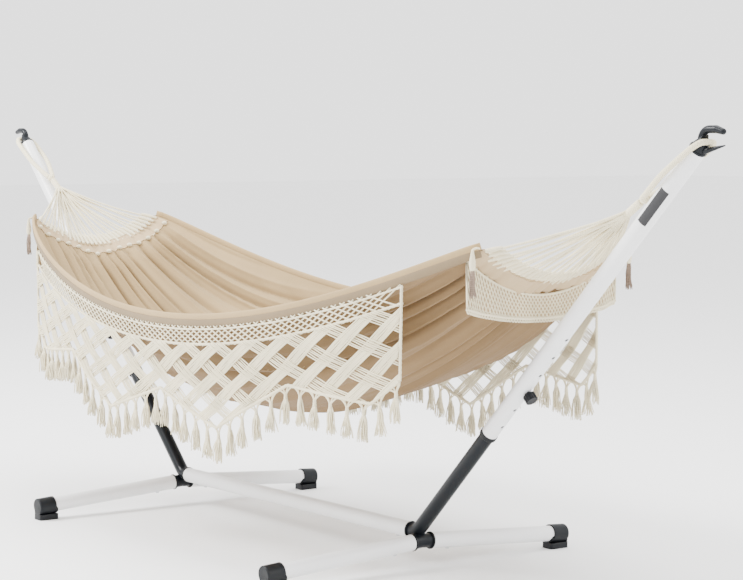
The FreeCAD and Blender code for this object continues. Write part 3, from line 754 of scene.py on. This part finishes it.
class HAMMOCK_OT_end_cords(Step):
    """Fans of end cords, with a bound sleeve where each one joins its end strip"""

    bl_idname = "hammock.end_cords"
    bl_label = "End cords"

    def execute(self, context):
        sizes = self.settings(context)
        count = sizes.cords
        whip_end = CROTCH + HANG * 0.066
        share = np.linspace(0, 1, 18)[:, None]
        across = np.linspace(-0.95, 0.95, count)
        number = np.arange(count)
        bundle = np.sqrt((number * 0.618) % 1) * 0.0085
        spread = np.stack([0 * bundle, bundle * np.cos(number * 2.4), bundle * np.sin(number * 2.4)], axis=-1)
        radius = sizes.cord_diameter / 2
        for end_name, end in ENDS.items():
            tops = whip_end + spread
            feet = bed_surface(np.full(count, BED_X), across) + np.array([0.0, 0.0, -0.001])
            toward = unit(tops - feet)
            finish_at = feet + toward * 0.004
            paths = tops[:, None] * (1 - share) + finish_at[:, None] * share
            sag = 0.004 + 0.006 * ((number * 0.377) % 1)
            paths[..., 2] -= sag[:, None] * np.sin(math.pi * share[:, 0])
            sleeve_share = np.linspace(0, 1, 24)
            sleeves = feet[:, None] + toward[:, None] * (0.044 - 0.060 * sleeve_share)[None, :, None]
            sleeves[..., 2] += 0.004 * sleeve_share
            girth = 0.0050 + 0.0016 * np.sin(math.pi * np.clip(sleeve_share * 1.2, 0, 1))
            bound = ridged_rings(np.linspace(0, 0.060, 24), girth, 8, 0.0056, 0.0009)
            fans = sweep(to_end(paths, end), ring(6, radius), (0, 1, 0.1))
            fan = piece("end_cords_" + end_name + "_fan", [fans], [finish("cream cord")])
            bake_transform(fan)
            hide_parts("end_cords_" + end_name)
            ends = piece("cord_sleeves_" + end_name, [sweep(to_end(sleeves, end), bound, (0, 1, 0.1))],
                         [finish("macrame cord")])
            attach(ends, "bed")
        return {"FINISHED"}


class HAMMOCK_OT_loops(Step):
    """Bound rope loops on the hooks, their knots, and the whippings that gather the end cords"""

    bl_idname = "hammock.loops"
    bl_label = "Loops and whippings"

    def execute(self, context):
        sizes = self.settings(context)
        length = np.linalg.norm(CROTCH - THROAT)
        reach = 0.0075
        across = np.array([0.0, 1.0, 0.0])
        half = [(length - 0.004, 0.0085), (length * 0.86, 0.017), (length * 0.6, 0.0325), (0.10, 0.0335),
                (0.038, 0.0335), (0.016, 0.026), (reach, 0.019), (reach - 0.0005, 0.010)]
        down = np.array([point[0] for point in half] + [point[0] for point in half[::-1]])
        side = np.array([point[1] for point in half] + [-point[1] for point in half[::-1]])
        route = THROAT + HANG * down[:, None] + across * side[:, None]
        path = smooth_path(route, 460)
        radius = np.full(len(path), sizes.rope_diameter / 2)
        binding = ridged_rings(steps_along(path), radius, 12, 0.0044, 0.0011)
        share = np.linspace(-1, 1, 26)
        knot_line = CROTCH + HANG * (0.0128 * share)[:, None]
        knot_radius = 0.0002 + 0.0128 * np.sqrt(np.clip(1 - share**2, 0, 1))
        knot = ridged_rings(0.0128 * share, knot_radius, 16, 0.0046, 0.0009)
        whip_share = np.linspace(0, 1, 96)
        whip_line = CROTCH + HANG * (0.0145 + 0.0585 * whip_share)[:, None]
        whip_radius = 0.0104 - 0.0035 * np.exp(-whip_share / 0.03) - 0.0022 * np.exp(-(1 - whip_share) / 0.05)
        whipping = ridged_rings(0.0585 * whip_share, whip_radius, 16, 0.0036, 0.0009)
        for end_name, end in ENDS.items():
            rope = sweep(to_end(path, end)[None], binding[None], (0.3, 0, 1))
            ball = sweep(to_end(knot_line, end)[None], knot[None], (0, 1, 0))
            loop = piece("loop_" + end_name + "_bound", [rope, ball], [finish("cream cord")])
            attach(loop, end_name + "_arm")
            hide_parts("loop_" + end_name)
            stem = piece("whipping_" + end_name + "_bound",
                         [sweep(to_end(whip_line, end)[None], whipping[None], (0, 1, 0))], [finish("cream cord")])
            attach(stem, end_name + "_cords")
            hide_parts("whipping_" + end_name)
        return {"FINISHED"}


class HAMMOCK_OT_fringes(Step):
    """Macrame fringes under both hems: fine net, woven lattice of corded bands, arches and tassels"""

    bl_idname = "hammock.fringes"
    bl_label = "Side fringes"

    def execute(self, context):
        sizes = self.settings(context)
        for side_name, side in SIDES.items():
            parts = {
                "net": self.net(side, sizes),
                "lattice": self.lattice(side, sizes),
                "arches": self.arches(side, sizes),
                "tassels": self.tassels(side, sizes),
            }
            for part_name, blocks in parts.items():
                part = piece("fringe_" + side_name + "_" + part_name, blocks, [finish("macrame cord")])
                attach(part, "bed")
                if part_name == "lattice":
                    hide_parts("fringe_" + side_name)
        return {"FINISHED"}

    def net(self, side, sizes):
        """Thin cords that lean both ways from the hem, and knotted cords along their two ends."""
        top = np.arange(-FRINGE_X - 0.1, FRINGE_X + 0.1, sizes.net_step)
        drop = np.linspace(-0.004, sizes.net_drop + 0.004, 7)
        blocks = []
        for lean in (-1, 1):
            x = top[:, None] + lean * 1.9 * drop
            x = x[(np.abs(x) < FRINGE_X - 0.001).all(axis=1)]
            place = fringe_place(x, drop[None], side, sizes, lean * 0.0012 - 0.001)
            blocks.append(sweep(place, ring(5, 0.0021), (0, side, 0.01)))
        x = np.linspace(-FRINGE_X + 0.002, FRINGE_X - 0.002, 800)
        for depth, radius in ((sizes.net_drop, 0.0042), (0.004, 0.0030)):
            line = fringe_place(x, depth + 0 * x, side, sizes)
            rings = ridged_rings(x, np.full(len(x), radius), 7, 0.0125, radius * 0.35)
            blocks.append(sweep(line[None], rings[None], (0, side, 0.01)))
        return blocks

    def lattice(self, side, sizes):
        """Bands of parallel cords, woven over and under. The bands of one lean are tight, those of the other
        are loose. A thick cord follows the scalloped edge and each end."""
        wide = sizes.scallop / sizes.diamonds
        run = wide / sizes.lattice_high
        top = np.arange(-20, 21) * wide
        offsets = np.linspace(-1, 1, sizes.strands) * (sizes.band / 2 - 0.003) * math.hypot(1, run)
        start = (top[:, None] + offsets).ravel()
        dense = np.linspace(0, sizes.deep - sizes.net_drop, 300)
        share = np.linspace(0, 1, 20)
        blocks = []
        for lean, radius in ((-1, 0.00245), (1, 0.0018)):
            x = start[:, None] + lean * run * dense
            inside = (np.abs(x) < FRINGE_X - 0.004) & (dense + sizes.net_drop < lattice_depth(x, sizes))
            keep = inside.sum(axis=1) > 20
            first = np.argmax(inside[keep], axis=1)
            last = inside.shape[1] - 1 - np.argmax(inside[keep][:, ::-1], axis=1)
            depth = dense[first][:, None] * (1 - share) + dense[last][:, None] * share
            origin = start[keep][:, None]
            wander = 0.0016 * np.sin(origin * 391 + depth * 75)
            weave = lean * 0.0026 * np.cos(TAU * depth / sizes.lattice_high)
            place = fringe_place(origin + lean * run * depth + wander, sizes.net_drop + depth, side, sizes, 0.004 + weave)
            blocks.append(sweep(place, ring(5, radius), (0, side, 0.01)))
        x = np.linspace(-FRINGE_X + 0.004, FRINGE_X - 0.004, 800)
        line = fringe_place(x, lattice_depth(x, sizes), side, sizes, 0.004)
        rings = ridged_rings(x, np.full(len(x), 0.0050), 8, 0.011, 0.0014)
        blocks.append(sweep(line[None], rings[None], (0, side, 0.01)))
        for end in ENDS.values():
            x = np.full(60, end * (FRINGE_X - 0.003))
            down = np.linspace(0, lattice_depth(x[0], sizes), 60)
            rings = ridged_rings(down, np.full(60, 0.0042), 7, 0.012, 0.001)
            blocks.append(sweep(fringe_place(x, down, side, sizes, 0.003)[None], rings[None], (0, side, 0.01)))
        return blocks

    def posts(self, sizes):
        """Where the tassels hang, along x."""
        count = int(2 * (FRINGE_X - 0.014) / sizes.tassel_step)
        return np.linspace(-FRINGE_X + 0.014, FRINGE_X - 0.014, count)

    def arches(self, side, sizes):
        """Four cords from the scalloped edge curve in to each post, so that an arch opens between two posts."""
        x = self.posts(sizes)
        share = np.linspace(0, 1, 7)
        gather = 1 - np.sin(share * math.pi / 2) ** 0.8
        blocks = []
        for start in (-0.46, -0.2, 0.2, 0.46):
            line_x = x[:, None] + sizes.tassel_step * start * gather + 0.0015 * np.sign(start)
            line_x = np.clip(line_x, -FRINGE_X + 0.003, FRINGE_X - 0.003)
            from_edge = lattice_depth(line_x[:, :1], sizes)
            to_post = lattice_depth(x, sizes)[:, None] + sizes.arch
            line = fringe_place(line_x, from_edge * (1 - share) + to_post * share, side, sizes, 0.004)
            blocks.append(sweep(line, ring(5, 0.0022), (0, side, 0.01)))
        return blocks

    def tassels(self, side, sizes):
        """A bound post and a skirt of strands under every gathering of cords."""
        x = self.posts(sizes)
        top = fringe_place(x, lattice_depth(x, sizes) + sizes.arch - 0.008, side, sizes, 0.004)
        share = np.linspace(0, 1, 9)
        post_line = top[:, None] + np.array([0, 0, -0.020]) * share[:, None]
        post = ridged_rings(0.020 * share, 0.0044 + 0.0016 * share, 7, 0.0065, 0.0009)
        skirt = tassel_skirt(top + np.array([0, 0, -0.012]), sizes.tassel - 0.004, 0.0245, 24, 0.0024)
        return [sweep(post_line, post, (0, side, 0.01)), skirt]


def tassel_skirt(tops, length, spread, strands, radius):
    """Tapering strands under each top. A strand's offset grows with the square root of the way down, in the
    direction number * golden angle, and each has its own length and a slight wave."""
    count = len(tops)
    strand = np.arange(strands)
    seed = np.arange(count)[:, None] * 7.13 + strand * 3.77
    angle = strand * 2.39996 + np.arange(count)[:, None] * 1.7
    away = np.sqrt((strand + 0.5) / strands) * spread * (0.85 + 0.3 * np.sin(seed))
    reach = length * (0.93 + 0.07 * np.sin(seed * 1.9))
    share = np.linspace(0, 1, 5)
    bow = 0.12 + 0.88 * share**0.7
    flutter = 0.0016 * np.sin(seed[..., None] + 5 * share)
    paths = np.stack([
        away[..., None] * bow * np.cos(angle)[..., None] + flutter,
        0.62 * away[..., None] * bow * np.sin(angle)[..., None] + flutter,
        -reach[..., None] * share + 0 * flutter,
    ], axis=-1) + tops[:, None, None]
    thickness = radius * (1 - 0.45 * share)
    rings = ring(4, 1.0) * thickness[:, None, None]
    return sweep(paths.reshape(count * strands, 5, 3), rings, (0, 1, 0.1))


class HAMMOCK_OT_corner_tassels(Step):
    """Brown tassels at the bed's four corners"""

    bl_idname = "hammock.corner_tassels"
    bl_label = "Corner tassels"

    def execute(self, context):
        share = np.linspace(-1, 1, 15)
        for side_name, side in SIDES.items():
            for end_name, end in ENDS.items():
                name = "tassel_" + side_name + "_" + end_name
                low, high = (np.array(corner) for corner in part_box(name))
                middle = (low + high) / 2
                top = np.array([middle[0], middle[1], high[2] - 0.011])
                head_line = top + np.array([0, 0, -0.026]) + np.array([0, 0, -0.026]) * share[:, None]
                width = 0.0030 + 0.0055 * np.sin(math.pi * np.clip(0.5 + 0.5 * share, 0, 1) ** 1.4 * 0.8 + 0.1)
                head = ridged_rings(0.026 * share, width, 9, 0.0055, 0.0006)
                hem_end = np.array([end * BED_X, side * half_width(1.0), edge_z(1.0)])
                tie = smooth_path([hem_end, (hem_end + top) / 2 + np.array([0, 0, 0.004]), top], 8)
                neck = top + np.array([0, 0, -0.045])
                blocks = [
                    sweep(head_line[None], head[None], (0, 1, 0), slot=1),
                    sweep(tie[None], ring(6, 0.0028), (0.1, 0, 1), slot=1),
                    tassel_skirt(neck[None], high[2] - low[2] - 0.060, 0.0125, 50, 0.0016),
                ]
                tassel = piece(name + "_strands", blocks, [finish("taupe strands"), finish("macrame cord")])
                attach(tassel, "bed")
                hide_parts(name)
        return {"FINISHED"}


class HAMMOCK_OT_stage(Step):
    """Pale floor, soft lights and the camera"""

    bl_idname = "hammock.stage"
    bl_label = "Stage"

    def execute(self, context):
        view = context.scene.hammock_view
        reach = 40.0
        corners = np.array([[-reach, -reach, 0], [reach, -reach, 0], [reach, reach, 0], [-reach, reach, 0]])
        floor = piece("studio_floor", [(corners, [(np.array([[0, 1, 2, 3]]), np.zeros((1, 4, 2)), 0)])],
                      [finish("studio floor")])
        world = bpy.data.worlds.new("studio")
        world.use_nodes = True
        world.node_tree.nodes["Background"].inputs["Color"].default_value = (1.0, 1.0, 1.0, 1.0)
        world.node_tree.nodes["Background"].inputs["Strength"].default_value = 2.35
        context.scene.world = world
        self.softbox("key", (-3.5, -5.0, 5.5), (0, 0, 0.5), 3.0, 1300)
        self.softbox("fill", (5.5, 2.5, 3.5), (0, 0, 0.6), 3.0, 120)
        self.softbox("top", (0.0, 0.5, 6.0), (0, 0, 0.4), 4.0, 350)
        azimuth, elevation = view.azimuth, view.elevation
        back = Vector((math.sin(azimuth) * math.cos(elevation), -math.cos(azimuth) * math.cos(elevation),
                       math.sin(elevation)))
        camera = bpy.data.objects.new("camera", bpy.data.cameras.new("camera"))
        camera.location = view.place
        camera.rotation_euler = back.to_track_quat("Z", "Y").to_euler()
        camera.data.lens = view.lens
        camera.data.clip_end = 200.0
        context.scene.collection.objects.link(camera)
        context.scene.camera = camera
        return {"FINISHED"}

    def softbox(self, name, place, target, size, power):
        """Square soft light, aimed at a point."""
        data = bpy.data.lights.new(name, "AREA")
        data.size = size
        data.energy = power
        lamp = bpy.data.objects.new(name, data)
        lamp.location = place
        lamp.rotation_euler = (Vector(place) - Vector(target)).to_track_quat("Z", "Y").to_euler()
        bpy.context.scene.collection.objects.link(lamp)


STEPS = (
    HAMMOCK_OT_stage,
    HAMMOCK_OT_stand,
    HAMMOCK_OT_hems,
    HAMMOCK_OT_end_strips,
    HAMMOCK_OT_end_cords,
    HAMMOCK_OT_loops,
    HAMMOCK_OT_fringes,
    HAMMOCK_OT_corner_tassels,
    HAMMOCK_OT_bed,
)


class HAMMOCK_PT_sidebar(bpy.types.Panel):
    """Lists the steps that build the hammock"""

    bl_idname = "HAMMOCK_PT_sidebar"
    bl_label = "Hammock on Stand"
    bl_space_type = "VIEW_3D"
    bl_region_type = "UI"
    bl_category = "Hammock"

    def draw(self, context):
        for step in STEPS:
            self.layout.operator(step.bl_idname)


CLASSES = (HammockSizes, HammockColours, HammockView, *STEPS, HAMMOCK_PT_sidebar)


def register():
    for each in CLASSES:
        bpy.utils.register_class(each)
    bpy.types.Scene.hammock_sizes = PointerProperty(type=HammockSizes)
    bpy.types.Scene.hammock_colours = PointerProperty(type=HammockColours)
    bpy.types.Scene.hammock_view = PointerProperty(type=HammockView)


def unregister():
    del bpy.types.Scene.hammock_view
    del bpy.types.Scene.hammock_colours
    del bpy.types.Scene.hammock_sizes
    for each in reversed(CLASSES):
        bpy.utils.unregister_class(each)


def main():
    register()
    for step in STEPS:
        group, operation = step.bl_idname.split(".")
        getattr(getattr(bpy.ops, group), operation)()
    bpy.context.view_layer.update()


if __name__ == "__main__":
    main()
